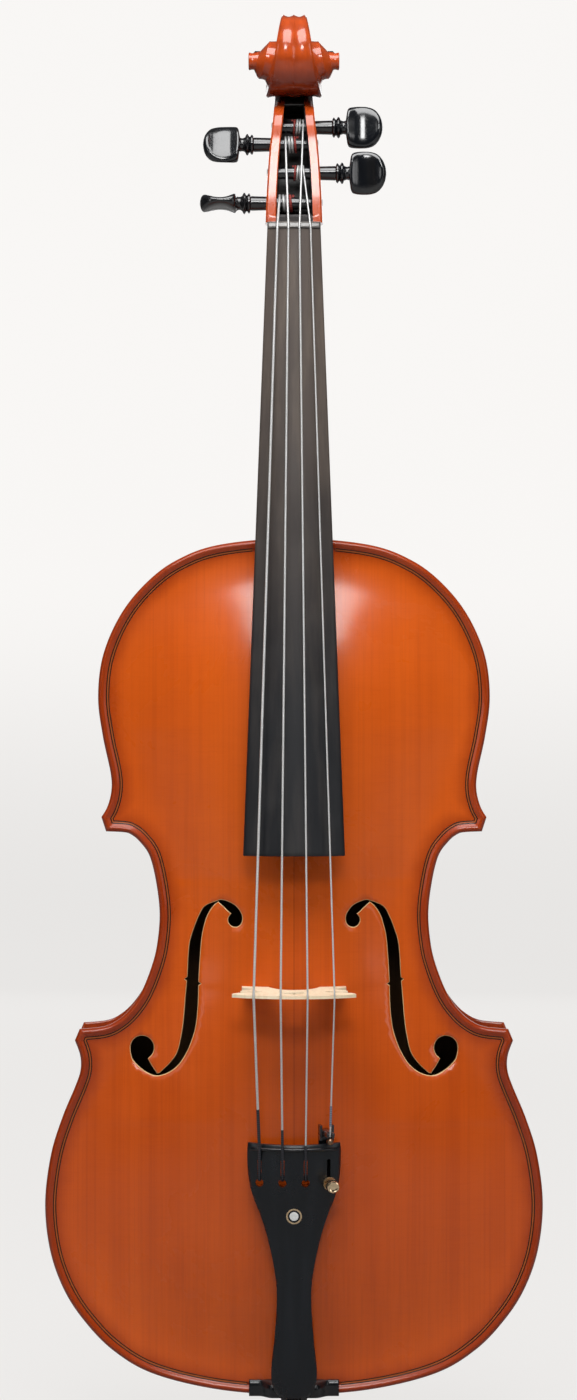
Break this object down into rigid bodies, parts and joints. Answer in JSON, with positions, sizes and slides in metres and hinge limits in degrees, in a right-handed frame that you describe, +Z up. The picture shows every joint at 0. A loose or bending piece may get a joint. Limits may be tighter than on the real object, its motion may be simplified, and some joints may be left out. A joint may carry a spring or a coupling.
{
  "type": "viola",
  "caption": "Viola with arched body, sound holes, carved scroll, turning pegs, bridge, strings and a tailpiece with a working fine tuner.",
  "frame": {"origin": "middle of the end button's flat outer face", "axes": "+Z up the body along the strings to the scroll, -Y out of the belly, +X towards the treble side"},
  "size_m": [0.2358, 0.109, 0.6755],
  "materials": {
    "belly_varnish": "glossy orange-brown varnish over straight-grained spruce",
    "back_varnish": "glossy orange-brown varnish over flamed maple",
    "rib_varnish": "glossy orange-brown varnish over bent flamed maple",
    "neck_maple": "glossy red-brown varnish on the head, oiled maple on the neck",
    "inner_wood": "bare spruce",
    "purfling": "black, pale and black strips under varnish",
    "ebony": "polished ebony",
    "board_ebony": "satin ebony worn by playing",
    "bridge_maple": "bare pale maple with fine flecks",
    "string_metal": "flat-wound metal",
    "silk": "wound silk thread",
    "gilt_metal": "polished gilt",
    "bronze": "satin bronze",
    "black_metal": "black lacquer",
    "pearl": "polished mother-of-pearl",
    "nylon": "smooth black cord"
  },
  "bodies": {
    "viola": {"top_plate": "belly_varnish", "back_plate": "back_varnish", "purfling_top_bass": "purfling", "purfling_top_treble": "purfling", "purfling_back": "purfling", "rib_upper_bass": "rib_varnish", "rib_upper_treble": "rib_varnish", "rib_waist_bass": "rib_varnish", "rib_waist_treble": "rib_varnish", "rib_lower_bass": "rib_varnish", "rib_lower_treble": "rib_varnish", "lining_top_upper_bass": "inner_wood", "lining_top_waist_bass": "inner_wood", "lining_top_lower_bass": "inner_wood", "lining_back_upper_bass": "inner_wood", "lining_back_waist_bass": "inner_wood", "lining_back_lower_bass": "inner_wood", "lining_top_upper_treble": "inner_wood", "lining_top_waist_treble": "inner_wood", "lining_top_lower_treble": "inner_wood", "lining_back_upper_treble": "inner_wood", "lining_back_waist_treble": "inner_wood", "lining_back_lower_treble": "inner_wood", "block_neck": "inner_wood", "block_end": "inner_wood", "block_upper_bass": "inner_wood", "block_upper_treble": "inner_wood", "block_lower_bass": "inner_wood", "block_lower_treble": "inner_wood", "bass_bar": "inner_wood", "sound_post": "inner_wood", "neck": "neck_maple", "fingerboard": "board_ebony", "nut": "ebony", "string_c": "string_metal", "string_g": "string_metal", "string_d": "string_metal", "string_a": "string_metal", "bridge": "bridge_maple", "tailpiece": "ebony", "tailpiece_fret": "ebony", "inlay_ring": "gilt_metal", "inlay_dot": "pearl", "tailgut": "nylon", "saddle": "ebony", "end_button": "ebony", "tuner_body": "black_metal", "tuner_clamp": "gilt_metal"},
    "peg_c": {"peg_c": "ebony", "winding_c": "silk"},
    "peg_g": {"peg_g": "ebony", "winding_g": "silk"},
    "peg_d": {"peg_d": "ebony", "winding_d": "silk"},
    "peg_a": {"peg_a": "ebony", "winding_a": "silk"},
    "tuner_screw": {"tuner_screw": "gilt_metal"},
    "tuner_lever": {"tuner_lever": "black_metal", "ball_end_a": "bronze"}
  },
  "joints": [
    {"name": "peg_c_turn", "type": "hinge", "parent": "viola", "child": "peg_c", "pos_m": [0, -0.00719, 0.58335], "axis": [1, 0, 0], "continuous": true},
    {"name": "peg_g_turn", "type": "hinge", "parent": "viola", "child": "peg_g", "pos_m": [0, 0.00001, 0.61232], "axis": [1, 0, 0], "continuous": true},
    {"name": "peg_d_turn", "type": "hinge", "parent": "viola", "child": "peg_d", "pos_m": [0, 0.00301, 0.62092], "axis": [1, 0, 0], "continuous": true},
    {"name": "peg_a_turn", "type": "hinge", "parent": "viola", "child": "peg_a", "pos_m": [0, -0.004, 0.59816], "axis": [1, 0, 0], "continuous": true},
    {"name": "tuner_screw_travel", "type": "slide", "parent": "viola", "child": "tuner_screw", "axis": [-0.2079, 0.9738, 0.092], "range_m": [0, 0.003]},
    {"name": "tuner_lever_swing", "type": "hinge", "parent": "viola", "child": "tuner_lever", "pos_m": [0.01491, -0.04474, 0.14417], "axis": [0.9781, 0.207, 0.0195], "range_deg": [0, 7.5]}
  ],
  "couplings": [
    {"joint": "tuner_lever_swing", "follows": "tuner_screw_travel", "rad_per_m": 43.1}
  ]
}
